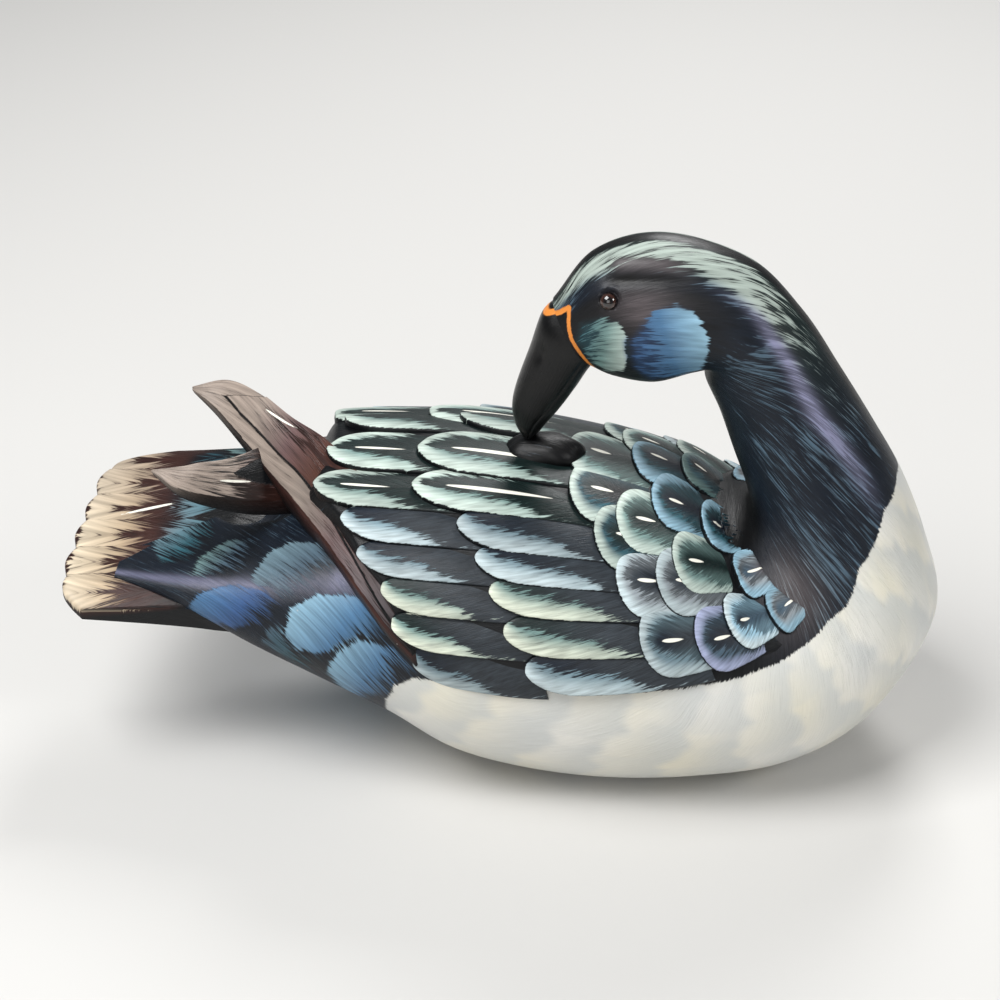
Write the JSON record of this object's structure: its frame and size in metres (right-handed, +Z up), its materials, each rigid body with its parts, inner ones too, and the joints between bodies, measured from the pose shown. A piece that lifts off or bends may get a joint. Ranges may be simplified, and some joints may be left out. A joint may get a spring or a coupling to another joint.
{
  "type": "goose decoy",
  "caption": "Carved and painted wooden goose at rest, its neck laid back so that the bill tip touches the folded wings; a solid shelf ornament on a flat underside.",
  "frame": {"origin": "Centre of the flat underside, where the bird's middle plane crosses it", "axes": "+X towards the breast, +Y towards the bird's left side, +Z up"},
  "size_m": [0.3955, 0.185, 0.2447],
  "materials": {
    "painted_wood": "hand-painted, satin varnish",
    "eye_glass": "polished, opaque dark brown"
  },
  "bodies": {
    "root": {"carved_goose": "painted_wood", "eye_right": "eye_glass", "eye_left": "eye_glass"}
  },
  "joints": []
}
